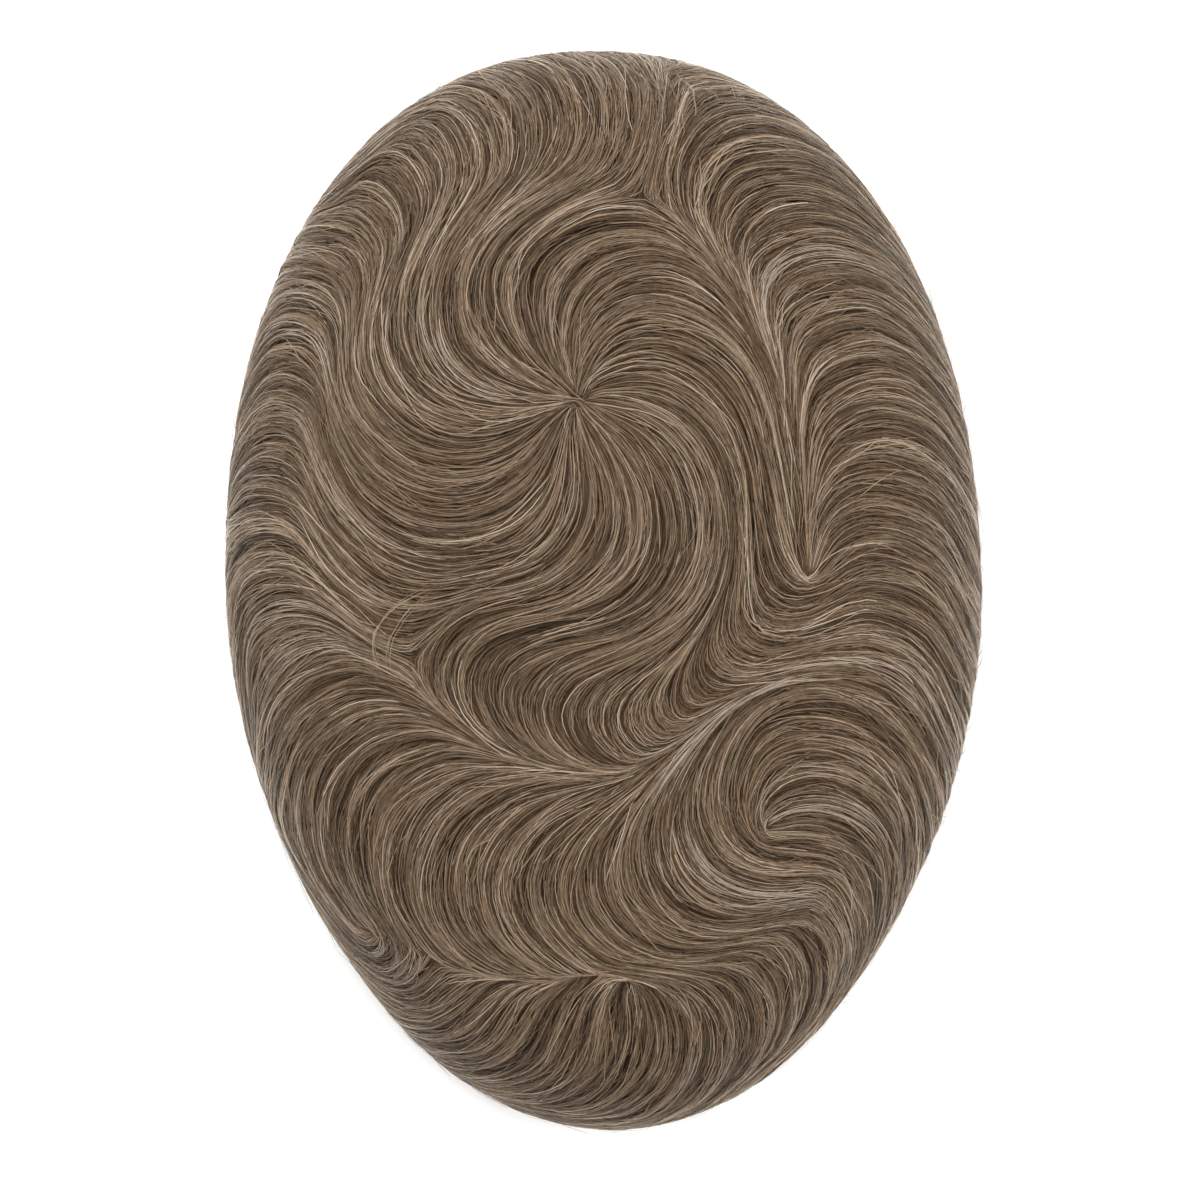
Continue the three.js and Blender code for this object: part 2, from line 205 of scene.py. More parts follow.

# How the hair lies, band by band. Each row runs along the hair in the photo and was charted
# as points (right, down) in its pixels.
GUIDES = {
    "left": (
        ((400, 112), (420, 101), (440, 97), (455, 101), (466, 109), (475, 121), (481, 137), (483, 155),
         (479, 178), (469, 202), (453, 227)),
        ((383, 136), (397, 122), (412, 114), (427, 111), (442, 116), (452, 127), (459, 142), (462, 162),
         (459, 185), (449, 208), (433, 235)),
        ((362, 160), (380, 144), (396, 139), (410, 144), (421, 156), (429, 172), (432, 192), (428, 215),
         (415, 240)),
        ((335, 193), (352, 180), (370, 178), (385, 185), (396, 198), (403, 215), (403, 235), (395, 258),
         (380, 290)),
        ((293, 232), (310, 216), (332, 210), (354, 213), (370, 226), (380, 246), (382, 272), (372, 305)),
        ((280, 255), (298, 240), (320, 236), (341, 243), (356, 260), (362, 285), (359, 312), (349, 338)),
        ((266, 288), (283, 272), (304, 268), (324, 274), (340, 291), (348, 315), (348, 340), (342, 365)),
        ((257, 322), (273, 302), (293, 296), (313, 301), (330, 318), (340, 342), (340, 368)),
        ((247, 372), (258, 352), (273, 341), (290, 340), (306, 348), (319, 364), (328, 388), (329, 415)),
        ((236, 440), (247, 417), (262, 403), (280, 398), (297, 402), (311, 416), (321, 440), (325, 468)),
        ((229, 482), (240, 463), (255, 453), (271, 451), (287, 458), (302, 473), (314, 495), (322, 520)),
        ((225, 520), (234, 508), (249, 502), (267, 503), (285, 511), (302, 527), (317, 550), (330, 575)),
        ((220, 620), (228, 580), (243, 560), (268, 552), (297, 560), (322, 584), (345, 616)),
        ((228, 682), (232, 648), (245, 618), (272, 602), (308, 600), (338, 612), (362, 638)),
    ),
    "back": (
        ((430, 88), (455, 80), (480, 78), (497, 84), (508, 95), (516, 110), (520, 128), (519, 150),
         (513, 173), (502, 195), (485, 214)),
        ((455, 72), (485, 66), (512, 69), (530, 80), (540, 97), (545, 117), (545, 140), (539, 163),
         (528, 185), (510, 203), (485, 217)),
        ((480, 58), (515, 53), (545, 57), (565, 66), (577, 82), (584, 103), (585, 128), (577, 150),
         (558, 172), (530, 190), (500, 205)),
        ((510, 50), (550, 48), (580, 55), (598, 70), (609, 92), (613, 117), (609, 143), (595, 166),
         (570, 185), (540, 200)),
        ((560, 45), (605, 52), (630, 70), (640, 98), (638, 130), (627, 155), (603, 180), (568, 203)),
        ((590, 42), (625, 50), (648, 66), (658, 95), (655, 125), (647, 155), (632, 176), (605, 195)),
        ((610, 42), (640, 54), (656, 76), (663, 105), (659, 135), (653, 160), (652, 182), (660, 205),
         (678, 225)),
        ((640, 46), (660, 68), (671, 98), (673, 130), (669, 160), (670, 187), (678, 210), (695, 235)),
    ),
    "crown_left": (
        ((558, 396), (525, 394), (492, 388), (465, 376), (448, 356), (440, 328), (438, 300), (442, 272),
         (452, 248), (470, 224)),
        ((558, 388), (528, 377), (500, 361), (480, 342), (466, 318), (461, 292), (465, 266), (476, 245),
         (498, 226), (525, 212)),
        ((560, 383), (530, 362), (506, 335), (493, 305), (490, 275), (499, 250), (517, 230), (547, 212)),
        ((562, 375), (543, 345), (533, 312), (530, 282), (540, 254), (563, 234), (600, 224), (650, 221)),
        ((567, 372), (553, 345), (546, 315), (546, 285), (558, 259), (583, 241), (620, 233)),
        ((574, 368), (575, 335), (588, 303), (612, 279), (650, 262)),
        ((550, 403), (510, 408), (465, 402), (430, 385), (410, 356), (402, 325), (403, 295), (410, 268),
         (425, 243), (450, 217)),
        ((556, 404), (520, 421), (480, 432), (440, 430), (400, 415), (375, 390), (362, 360), (360, 330),
         (368, 305)),
        ((560, 408), (543, 432), (515, 460), (470, 477), (425, 475), (385, 455), (355, 425), (342, 395)),
        ((563, 412), (547, 448), (525, 482), (490, 510), (445, 515), (400, 505), (365, 480), (345, 450),
         (335, 420)),
        ((568, 412), (566, 440), (563, 480), (548, 520), (520, 550), (480, 565), (430, 562), (385, 550),
         (355, 525), (335, 495)),
        ((573, 412), (579, 450), (580, 500), (565, 545), (535, 575), (490, 587), (440, 588), (395, 578),
         (360, 555), (340, 530)),
    ),
    "crown_right": (
        ((600, 203), (635, 203), (665, 215), (700, 238)),
        ((550, 225), (590, 213), (635, 212), (680, 225), (715, 250), (740, 285)),
        ((570, 250), (600, 232), (645, 228), (690, 240), (725, 268), (750, 300)),
        ((575, 280), (600, 255), (640, 250), (685, 258), (720, 280), (750, 310), (772, 350)),
        ((585, 310), (610, 285), (650, 275), (690, 282), (725, 305), (755, 340), (775, 380), (787, 420),
         (795, 450)),
        ((583, 360), (600, 325), (635, 305), (675, 306), (715, 322), (745, 347), (765, 380), (778, 420),
         (782, 460), (790, 520)),
        ((583, 375), (603, 345), (640, 328), (680, 331), (715, 347), (745, 375), (762, 410), (768, 450),
         (770, 500)),
        ((585, 387), (605, 373), (632, 363), (665, 362), (698, 377), (722, 402), (742, 430), (752, 470),
         (755, 515), (751, 560), (738, 597)),
        ((590, 394), (625, 389), (660, 392), (692, 405), (717, 428), (733, 462), (740, 505), (738, 550),
         (725, 592), (698, 625), (660, 648), (610, 662)),
        ((588, 400), (617, 402), (650, 410), (678, 425), (701, 449), (716, 482), (722, 520), (717, 560),
         (702, 592), (675, 620), (640, 638), (590, 646)),
        ((587, 405), (612, 413), (640, 425), (666, 445), (686, 474), (697, 510), (697, 545), (687, 578),
         (665, 606), (633, 624), (590, 634), (540, 640)),
        ((584, 410), (603, 422), (628, 441), (650, 466), (665, 498), (669, 530), (664, 562), (650, 590),
         (628, 609), (598, 620), (550, 626), (500, 631), (465, 643)),
        ((580, 411), (592, 430), (608, 455), (625, 487), (635, 525), (632, 557), (620, 580), (598, 598),
         (565, 608), (525, 612)),
        ((577, 410), (590, 440), (605, 480), (611, 520), (600, 560), (574, 586), (535, 599), (495, 603)),
        ((576, 420), (586, 460), (590, 500), (586, 530), (563, 563), (530, 583), (490, 590)),
    ),
    "inner": (
        ((455, 612), (438, 630), (427, 652), (424, 675), (430, 700), (450, 730)),
        ((340, 585), (365, 605), (395, 616), (430, 612), (470, 604)),
        ((540, 618), (500, 619), (475, 628), (458, 645), (450, 668), (451, 692), (462, 716), (485, 742)),
        ((590, 630), (545, 635), (510, 643), (488, 658), (478, 680), (480, 704), (492, 727), (515, 750)),
        ((625, 640), (580, 646), (545, 654), (522, 668), (510, 688), (509, 710), (520, 732), (545, 756)),
        ((660, 640), (620, 652), (580, 662), (555, 677), (541, 697), (538, 717), (547, 738), (572, 760)),
        ((720, 590), (700, 622), (665, 645), (625, 662), (595, 677), (576, 697), (569, 718), (577, 740),
         (602, 763)),
        ((735, 600), (720, 630), (693, 652), (658, 668), (625, 684), (605, 702), (598, 722), (606, 742),
         (628, 756)),
        ((660, 680), (640, 690), (625, 710), (628, 728), (645, 742), (665, 745)),
        ((655, 690), (645, 710), (650, 728), (665, 738), (690, 735)),
        ((784, 411), (795, 444), (807, 460)),
        ((780, 439), (791, 471), (807, 487)),
        ((780, 466), (788, 498), (807, 520)),
        ((780, 493), (788, 525), (807, 552)),
        ((776, 515), (788, 547), (807, 574)),
        ((772, 525), (780, 558), (795, 585), (811, 590)),
        ((758, 520), (762, 555), (772, 580), (789, 596), (806, 600), (822, 591)),
        ((748, 560), (748, 590), (758, 613), (778, 627), (800, 625), (820, 612)),
        ((737, 595), (735, 620), (744, 641), (762, 653), (787, 656)),
        ((722, 630), (727, 650), (742, 663), (763, 668), (792, 660)),
        ((712, 645), (717, 666), (732, 679), (752, 681), (772, 674)),
        ((702, 642), (697, 665), (701, 685), (713, 698), (730, 700), (750, 690)),
        ((672, 678), (667, 698), (675, 713), (690, 719), (706, 713), (722, 702)),
    ),
    "right_back": (
        ((668, 72), (690, 68), (722, 73), (757, 85), (792, 101), (837, 129)),
        ((677, 125), (681, 104), (694, 91), (722, 86), (760, 93), (798, 108), (845, 140)),
        ((676, 190), (674, 165), (681, 143), (694, 126), (713, 113), (740, 104), (770, 106), (805, 122),
         (845, 150)),
        ((697, 232), (690, 212), (689, 188), (693, 165), (705, 146), (725, 132), (755, 124), (785, 127),
         (820, 143), (852, 168)),
        ((709, 248), (701, 225), (700, 200), (704, 177), (716, 159), (738, 146), (775, 140), (812, 147),
         (845, 170), (875, 203)),
        ((723, 266), (713, 242), (711, 217), (717, 194), (731, 178), (755, 168), (790, 165), (828, 172),
         (862, 196), (895, 233)),
        ((737, 286), (729, 262), (729, 237), (737, 215), (752, 200), (777, 190), (812, 188), (845, 198),
         (875, 220), (910, 260)),
        ((748, 305), (741, 280), (742, 256), (752, 238), (769, 225), (795, 217), (828, 216), (860, 225),
         (890, 248), (925, 290)),
        ((760, 322), (753, 297), (756, 274), (766, 256), (782, 245), (805, 238), (838, 238), (873, 251),
         (905, 275), (940, 320)),
    ),
    "right": (
        ((768, 335), (762, 308), (766, 284), (780, 268), (802, 258), (835, 255), (867, 262), (897, 278),
         (922, 305), (950, 350)),
        ((779, 358), (774, 330), (778, 308), (790, 293), (810, 281), (838, 276), (872, 282), (905, 300),
         (935, 330), (960, 380)),
        ((788, 380), (784, 350), (788, 328), (800, 312), (820, 301), (848, 296), (878, 300), (908, 318),
         (937, 346), (965, 395)),
        ((796, 405), (794, 375), (800, 351), (815, 334), (838, 324), (868, 320), (898, 328), (925, 346),
         (948, 375), (970, 425)),
        ((801, 430), (801, 400), (808, 376), (825, 358), (850, 347), (880, 343), (912, 353), (942, 379),
         (972, 437)),
        ((804, 452), (808, 425), (820, 401), (842, 384), (868, 374), (895, 373), (922, 385), (950, 412),
         (977, 460)),
        ((807, 480), (813, 452), (829, 430), (855, 413), (885, 405), (913, 409), (938, 424), (960, 449),
         (980, 490)),
        ((807, 540), (810, 505), (825, 480), (850, 465), (885, 460), (915, 465), (940, 479), (963, 510),
         (984, 560)),
        ((812, 570), (820, 540), (840, 520), (870, 510), (900, 512), (930, 525), (955, 550), (975, 590),
         (988, 635)),
        ((800, 601), (815, 595), (830, 579), (852, 563), (878, 554), (905, 556), (935, 570), (957, 598),
         (975, 640), (984, 685)),
        ((798, 628), (816, 618), (836, 607), (862, 599), (890, 600), (920, 610), (945, 635), (963, 670),
         (974, 720)),
        ((790, 652), (820, 640), (855, 633), (890, 640), (920, 655), (942, 685), (957, 725), (964, 775)),
    ),
    "right_front": (
        ((718, 738), (740, 708), (766, 687), (800, 677), (835, 676), (872, 685), (905, 705), (932, 740),
         (948, 785), (950, 830)),
        ((738, 752), (752, 727), (775, 711), (808, 705), (842, 709), (876, 726), (905, 755), (924, 790),
         (932, 830), (930, 870)),
        ((750, 770), (762, 750), (790, 738), (830, 738), (865, 748), (893, 770), (910, 800), (918, 840),
         (912, 885)),
        ((755, 800), (765, 780), (790, 765), (825, 762), (858, 770), (885, 790), (902, 820), (908, 855),
         (900, 900)),
        ((760, 820), (775, 800), (800, 790), (835, 788), (865, 800), (888, 822), (898, 855), (893, 900)),
        ((715, 722), (696, 748), (682, 775), (677, 805), (680, 840), (690, 870), (710, 893), (740, 905)),
        ((730, 720), (713, 750), (706, 785), (710, 815), (722, 842), (742, 862), (775, 875)),
        ((750, 715), (738, 740), (733, 775), (737, 805), (750, 830), (768, 845), (795, 852)),
        ((748, 745), (748, 780), (752, 810), (765, 832)),
        ((763, 842), (770, 826), (785, 815), (808, 810), (840, 811), (870, 825), (895, 850), (905, 885),
         (900, 920), (885, 955)),
        ((768, 849), (780, 833), (800, 825), (830, 828), (855, 840), (875, 860), (885, 890), (885, 920),
         (875, 950), (855, 990)),
        ((740, 830), (765, 845), (790, 852), (820, 850), (845, 862), (862, 885), (870, 915), (868, 945),
         (855, 980)),
        ((720, 870), (745, 885), (770, 885), (800, 880), (825, 880), (845, 895), (858, 920), (860, 950),
         (850, 985), (835, 1015)),
        ((700, 950), (735, 933), (770, 918), (800, 910), (822, 918), (840, 940), (842, 975), (830, 1015)),
        ((660, 965), (700, 953), (740, 941), (772, 940), (790, 955), (803, 985), (800, 1018), (780, 1055)),
        ((893, 930), (868, 965), (840, 1000), (808, 1034), (775, 1063), (735, 1090), (690, 1112)),
    ),
    "left_front": (
        ((229, 600), (231, 650), (239, 700), (250, 750), (264, 800), (285, 850), (310, 895), (340, 935)),
        ((395, 670), (360, 656), (325, 655), (298, 667), (277, 687), (263, 712), (255, 745), (256, 785)),
        ((430, 708), (402, 692), (370, 683), (338, 687), (310, 702), (286, 727), (272, 757), (266, 795),
         (270, 830), (285, 870)),
        ((450, 722), (405, 721), (365, 731), (338, 752), (321, 780), (313, 812), (316, 848), (328, 881),
         (347, 907), (370, 927)),
        ((500, 752), (455, 749), (415, 757), (383, 775), (362, 803), (353, 840), (357, 880), (372, 915),
         (397, 943)),
        ((545, 770), (505, 773), (465, 780), (432, 795), (407, 820), (393, 850), (388, 885), (398, 918),
         (418, 945), (450, 965)),
        ((560, 777), (520, 780), (488, 788), (460, 803), (438, 826), (424, 857), (420, 890), (428, 920),
         (448, 946), (485, 968)),
        ((590, 784), (555, 788), (522, 798), (493, 816), (470, 842), (458, 875), (458, 905), (470, 935),
         (495, 958), (530, 973)),
        ((615, 784), (583, 791), (552, 804), (526, 824), (505, 852), (494, 885), (499, 918), (515, 947),
         (545, 968)),
        ((630, 788), (592, 802), (557, 823), (533, 850), (522, 882), (526, 912), (543, 940), (575, 963)),
        ((645, 792), (612, 812), (585, 838), (567, 866), (560, 895), (567, 922), (585, 945), (615, 963)),
        ((680, 752), (655, 778), (636, 803), (621, 832), (612, 862), (612, 892), (622, 918), (645, 940),
         (680, 952)),
        ((705, 733), (680, 760), (663, 787), (652, 815), (648, 845), (652, 878), (666, 905), (690, 924),
         (720, 932)),
        ((693, 742), (671, 770), (657, 802), (654, 836), (660, 868), (675, 895), (700, 915), (730, 923)),
    ),
    "front": (
        ((620, 976), (660, 970), (700, 961), (738, 959), (762, 975), (777, 1000), (776, 1030), (763, 1060),
         (740, 1087)),
        ((620, 978), (660, 974), (697, 979), (725, 998), (739, 1025), (739, 1052), (729, 1080),
         (712, 1105)),
        ((640, 975), (675, 978), (702, 991), (719, 1013), (724, 1040), (718, 1067), (702, 1093)),
        ((652, 980), (672, 995), (685, 1015), (691, 1040), (687, 1065), (675, 1088), (653, 1110)),
        ((642, 984), (653, 1002), (659, 1022), (660, 1045), (655, 1067), (643, 1088), (620, 1108),
         (585, 1120)),
        ((632, 982), (629, 1000), (629, 1020), (630, 1040), (626, 1062), (616, 1082), (598, 1100),
         (560, 1113)),
        ((618, 985), (607, 1003), (602, 1025), (601, 1048), (595, 1068), (582, 1085), (558, 1099),
         (520, 1106)),
        ((592, 988), (579, 1003), (571, 1025), (568, 1045), (560, 1064), (545, 1080), (520, 1090),
         (480, 1092)),
        ((558, 987), (541, 998), (530, 1013), (524, 1030), (517, 1046), (504, 1059), (485, 1067),
         (450, 1066)),
        ((526, 986), (511, 996), (502, 1010), (495, 1026), (485, 1041), (468, 1050), (435, 1051)),
        ((496, 984), (481, 994), (471, 1007), (461, 1021), (447, 1032), (428, 1037), (400, 1030)),
        ((466, 980), (452, 992), (440, 1005), (424, 1013), (404, 1013), (383, 1001)),
        ((440, 972), (430, 984), (420, 994), (404, 999), (386, 994), (366, 978)),
        ((417, 962), (411, 975), (400, 983), (385, 983), (368, 974), (350, 957)),
        ((398, 950), (391, 962), (379, 968), (366, 965), (352, 955), (337, 937)),
        ((379, 939), (370, 950), (357, 949), (343, 939), (331, 920)),
        ((395, 1035), (430, 1056), (465, 1076), (505, 1098), (555, 1114), (610, 1124)),
    ),
    "ridges": (
        ((590, 198), (545, 205), (500, 213), (465, 225), (430, 245), (395, 280), (365, 320), (348, 362),
         (337, 400)),
        ((340, 390), (328, 435), (323, 490), (325, 535), (340, 575), (355, 605), (375, 635), (398, 668),
         (428, 702)),
        ((428, 702), (465, 733), (505, 757), (550, 771), (600, 781), (640, 775), (672, 757), (705, 728)),
        ((705, 728), (740, 697), (775, 668), (812, 645), (850, 635)),
        ((672, 90), (672, 130), (661, 165), (657, 190), (672, 217), (700, 245), (728, 275), (752, 308)),
        ((752, 308), (775, 355), (790, 400), (800, 445), (805, 490), (808, 540), (812, 580)),
        ((365, 925), (400, 955), (440, 972), (490, 981), (545, 982), (600, 978), (650, 967), (700, 952),
         (745, 930), (785, 905)),
    ),
}

# Where light streaks stand out in the photo, as charted. Each place is (right, back) in percent
# of half the hair's width and of half its length, as seen from above.
LIGHT_SPOTS = (
    (31, -53), (39, -57), (52, -40), (63, -40), (58, -58), (64, -64), (-80, -3), (-87, -13), (-77, -10),
    (70, -13), (87, -20), (95, -1), (21, -30), (34, -22), (44, 58), (63, 62), (-82, 55), (-82, 48),
    (-45, 44),
)

# Some of the stray hairs that stand out in the photo, in the same percents
FLY_AWAYS = (
    ((-45, 0), (-51, -2), (-56, -5), (-59, -9), (-59, -13), (-57, -16)),
    ((-44, 0), (-48, -2), (-52, -5), (-55, -9), (-56, -13), (-55, -16)),
    ((18, 97), (20, 95), (22, 93), (24, 89), (23, 87)),
    ((26, 93), (29, 92), (31, 91)),
    ((33, 94), (35, 92), (37, 90)),
)


def shares_norm(across, along):
    """How far out a place lies: 0 at the middle of the outline and 1 on it."""
    ahead = np.abs(along) / np.maximum(np.abs(across) + np.abs(along), 1e-9)
    blunt = FRONT_BLUNT * np.clip((ahead - FRONT_FROM) / FRONT_BLEND, 0, 1)
    power = np.where(along > 0, BACK_POWER, FRONT_POWER + blunt)
    return (np.abs(across) ** power + np.abs(along) ** power) ** (1 / power)


def fall_of(places):
    """How far down the form a flat place lies: 0 at the top, 1 at the widest line."""
    return shares_norm(places[..., 0] / HALVES[0], places[..., 1] / HALVES[1])


def profile(fall):
    """Share of the spread and height of the form at a fall from its top."""
    arc = np.minimum(fall, 1) * math.pi / 2
    below = np.clip((fall - 1) / (RIM_FALL - 1), 0, 1)
    spread = np.sin(arc) ** (2 / SIDE_POWER) - TUCK * below ** 2
    dome = np.maximum(np.cos(arc), 0) ** (2 / SIDE_POWER) * (fall < 1)
    height = WIDEST * (1 - below) + (TOP - WIDEST) * dome
    return spread, height


def on_form(places):
    """The point of the smooth form for each place on its flat chart."""
    fall = np.maximum(fall_of(places), 1e-6)
    spread, height = profile(fall)
    flat = places * (spread / fall)[..., None]
    flat[..., 0] -= LEAN * flat[..., 1] / HALVES[1]
    return np.concatenate([flat, height[..., None]], -1)


def slopes(places):
    """How the form's point moves with each of the chart's two directions, and its outward normal."""
    nudge = 0.2 * MM
    side = np.array([nudge, 0.0])
    ahead = np.array([0.0, nudge])
    across = (on_form(places + side) - on_form(places - side)) / (2 * nudge)
    along = (on_form(places + ahead) - on_form(places - ahead)) / (2 * nudge)
    normal = np.cross(across, along)
    normal /= np.maximum(np.linalg.norm(normal, axis=-1, keepdims=True), 1e-9)
    return across, along, normal


def flat_place(row):
    """Flat chart places of points seen from above, with the lean and the perspective taken off."""
    shares = np.array(row, float) / 100
    shares[:, 0] += LEAN / HALVES[0] * shares[:, 1]
    falls = np.linspace(0, 1, 400)
    spread, height = profile(falls)
    seen = spread * CAMERA_RISE / (CAMERA_RISE - (height - WIDEST))
    out = shares_norm(shares[:, 0], shares[:, 1])
    fall = np.where(out < 1, np.interp(out, np.maximum.accumulate(seen), falls), 1 + (out - 1) * 2)
    return shares * (fall / np.maximum(out, 1e-6))[:, None] * HALVES


def thinned(points):
    """A row without the points that lie close to a straight line between those that stay."""
    way = points[-1] - points[0]
    apart = points[1:-1] - points[0]
    off = np.abs(way[0] * apart[:, 1] - way[1] * apart[:, 0]) / np.linalg.norm(way)
    if not len(off) or off.max() <= THIN_GAP:
        return points[[0, -1]]
    far = off.argmax() + 1
    return np.vstack([thinned(points[:far + 1])[:-1], thinned(points[far:])])


def charted(row):
    """A guide row thinned and turned from pixels to whole percents of half the width and length."""
    points = np.array(row, float)
    kept = thinned(points)
    if len(kept) == 2:
        kept = points[[0, len(points) // 2, -1]]
    return np.rint((kept - PHOTO_MIDDLE) * [1, -1] / PHOTO_HALVES * 100)


def curve_through(points, spacing):
    """Evenly spaced samples of a smooth curve through a few points."""
    ends = np.vstack([2 * points[0] - points[1], points, 2 * points[-1] - points[-2]])
    samples = []
    for a, b, c, d in zip(ends, ends[1:], ends[2:], ends[3:]):
        count = max(2, int(np.linalg.norm(c - b) / spacing) + 1)
        t = np.linspace(0, 1, count, endpoint=False)[:, None]
        samples.append(b + (c - a) * t / 2 + (a - 2.5 * b + 2 * c - d / 2) * t ** 2
                       + (1.5 * b - a / 2 - 1.5 * c + d / 2) * t ** 3)
    return np.vstack(samples + [points[-1:]])


class Sheet:
    """An even grid over the flat chart, whose values are read between its points."""

    def __init__(self, cell):
        self.cell = cell
        self.low = -HALVES * (RIM_FALL + 0.05)
        self.counts = np.ceil(-2 * self.low / cell).astype(int) + 1
        xs = self.low[0] + cell * np.arange(self.counts[0])
        ys = self.low[1] + cell * np.arange(self.counts[1])
        self.places = np.stack(np.meshgrid(xs, ys), -1)

    def read(self, values, places):
        spot = np.clip((places - self.low) / self.cell, 0, self.counts - 1.001)
        corner = spot.astype(int)
        part = spot - corner
        col, row = corner[..., 0], corner[..., 1]
        x, y = part[..., 0], part[..., 1]
        if values.ndim == 3:
            x, y = x[..., None], y[..., None]
        lower = values[row, col] * (1 - x) + values[row, col + 1] * x
        upper = values[row + 1, col] * (1 - x) + values[row + 1, col + 1] * x
        return lower * (1 - y) + upper * y


def blurred(values, cells):
    """Values smoothed over about that many cells, by three box means each way."""
    width = max(1, int(cells)) | 1
    for axis in (0, 1):
        for turn in range(3):
            padded = np.concatenate([np.take(values, [0] * (width // 2 + 1), axis), values,
                                     np.take(values, [-1] * (width // 2), axis)], axis)
            summed = np.cumsum(padded, axis)
            count = values.shape[axis]
            high = np.take(summed, range(width, width + count), axis)
            values = (high - np.take(summed, range(count), axis)) / width
    return values


def guide_samples():
    """Places and directions along every guide, and the number of the band that each belongs to."""
    places, headings, bands = [], [], []
    for number, rows in enumerate(GUIDES.values()):
        for row in rows:
            samples = curve_through(flat_place(charted(row)), GUIDE_SPACING)
            heading = np.gradient(samples, axis=0)
            places.append(samples)
            headings.append(heading / np.linalg.norm(heading, axis=1)[:, None])
            bands.append(np.full(len(samples), number))
    return np.vstack(places), np.vstack(headings), np.concatenate(bands)


def flow_field(sheet):
    """Doubled direction of the hair, the nearest band and the distance to a ridge, at each grid point."""
    places, headings, bands = guide_samples()
    doubled = np.stack([headings[:, 0] ** 2 - headings[:, 1] ** 2, 2 * headings[:, 0] * headings[:, 1]], 1)
    members = (bands[:, None] == np.arange(len(GUIDES))).astype(float)
    ridge = members[:, list(GUIDES).index("ridges")] > 0
    share = np.where(ridge, RIDGE_PULL, 1.0)
    spots = sheet.places.reshape(-1, 2)
    turned = np.zeros((len(spots), 2))
    weights = np.zeros((len(spots), len(GUIDES)))
    gap = np.zeros(len(spots))
    for start in range(0, len(spots), SPOTS_AT_ONCE):
        part = slice(start, start + SPOTS_AT_ONCE)
        apart = (spots[part, 0, None] - places[:, 0]) ** 2 + (spots[part, 1, None] - places[:, 1]) ** 2
        gap[part] = np.sqrt(apart[:, ridge].min(1))
        pull = share / (apart + FIELD_SOFTNESS ** 2) ** 2
        turned[part] = pull @ doubled
        weights[part] = pull @ members
    turned /= np.maximum(np.linalg.norm(turned, axis=1), 1e-9)[:, None]
    shape = sheet.places.shape[:2]
    turned = turned.reshape(*shape, 2)
    turned = np.stack([blurred(turned[..., axis], FIELD_BLUR) for axis in (0, 1)], -1)
    away = sheet.places - flat_place([WHORL])[0]
    apart = np.linalg.norm(away, axis=-1)[..., None]
    radial = np.stack([away[..., 0] ** 2 - away[..., 1] ** 2, 2 * away[..., 0] * away[..., 1]], -1)
    near = np.exp(-(apart / WHORL_SPREAD) ** 2)
    turned = turned * (1 - near) + radial / np.maximum(apart, 1e-6) ** 2 * near
    weights[:, list(GUIDES).index("ridges")] = 0
    return turned, weights.argmax(1).reshape(shape), gap.reshape(shape)


field_sheet = Sheet(FIELD_CELL)
turned_field, band_field, ridge_gap = flow_field(field_sheet)
rng = np.random.default_rng(SEED)


def flow(places, like, turn=0.0):
    """Direction of the hair at each place, on the side of the given direction."""
    doubled = field_sheet.read(turned_field, places)
    angle = np.arctan2(doubled[..., 1], doubled[..., 0]) / 2 + turn
    heading = np.stack([np.cos(angle), np.sin(angle)], -1)
    side = np.where((heading * like).sum(-1) < 0, -1.0, 1.0)
    return heading * side[..., None]


def streaks(sheet, width, reach):
    """Noise of one width drawn out along the hair: about -1 in the hollows and 1 on the strands."""
    noise = rng.standard_normal(sheet.places.shape[:2])
    noise = blurred(noise, width / sheet.cell / 2)
    total = noise.copy()
    step = sheet.cell * 1.2
    for sign in (-1, 1):
        spots = sheet.places.copy()
        heading = flow(spots, np.array([1.0, 0.0])) * sign
        for number in range(int(reach / 2 / step)):
            heading = flow(spots, heading)
            spots += heading * step
            total += sheet.read(noise, spots)
    inside = fall_of(sheet.places) < RIM_FALL
    total -= blurred(total, 1.5 * width / sheet.cell)
    return np.clip(total / (1.6 * total[inside].std()), -1, 1)


clump_sheet = Sheet(CLUMP_CELL)
ribs = streaks(clump_sheet, RIB_WIDTH, RIB_LENGTH)
clumps = streaks(clump_sheet, CLUMP_WIDTH, CLUMP_LENGTH)
# Painted light and shade by band, blurred across the band edges
band_painted_light_and_shade = blurred(np.array(list(BAND_PAINTED_LIGHT_AND_SHADE.values()))[band_field], BAND_BLUR)
ridges = np.exp(-(ridge_gap / RIDGE_WIDTH) ** 2)
clump_slope = np.stack(np.gradient(clumps, CLUMP_CELL)[::-1], -1)


def painted_rim_light(places):
    """Painted rim light: how much lighter the hair is painted towards the rim, for light shining through
    its thin edge.
    """
    return np.clip(RIM_SLOPE * (fall_of(places) - RIM_START), 0, RIM_PAINTED_LIGHT)


def lift_of(places):
    """Rise of the combed surface over the smooth form."""
    fade = np.clip((RELIEF_END - fall_of(places)) / RELIEF_FADE, RELIEF_LEAST, 1)
    rise = (RIDGE_RISE * (field_sheet.read(ridges, places) - RIDGE_DROP)
            + RIB_RISE * clump_sheet.read(ribs, places)
            + CLUMP_RISE * clump_sheet.read(clumps, places))
    return rise * fade


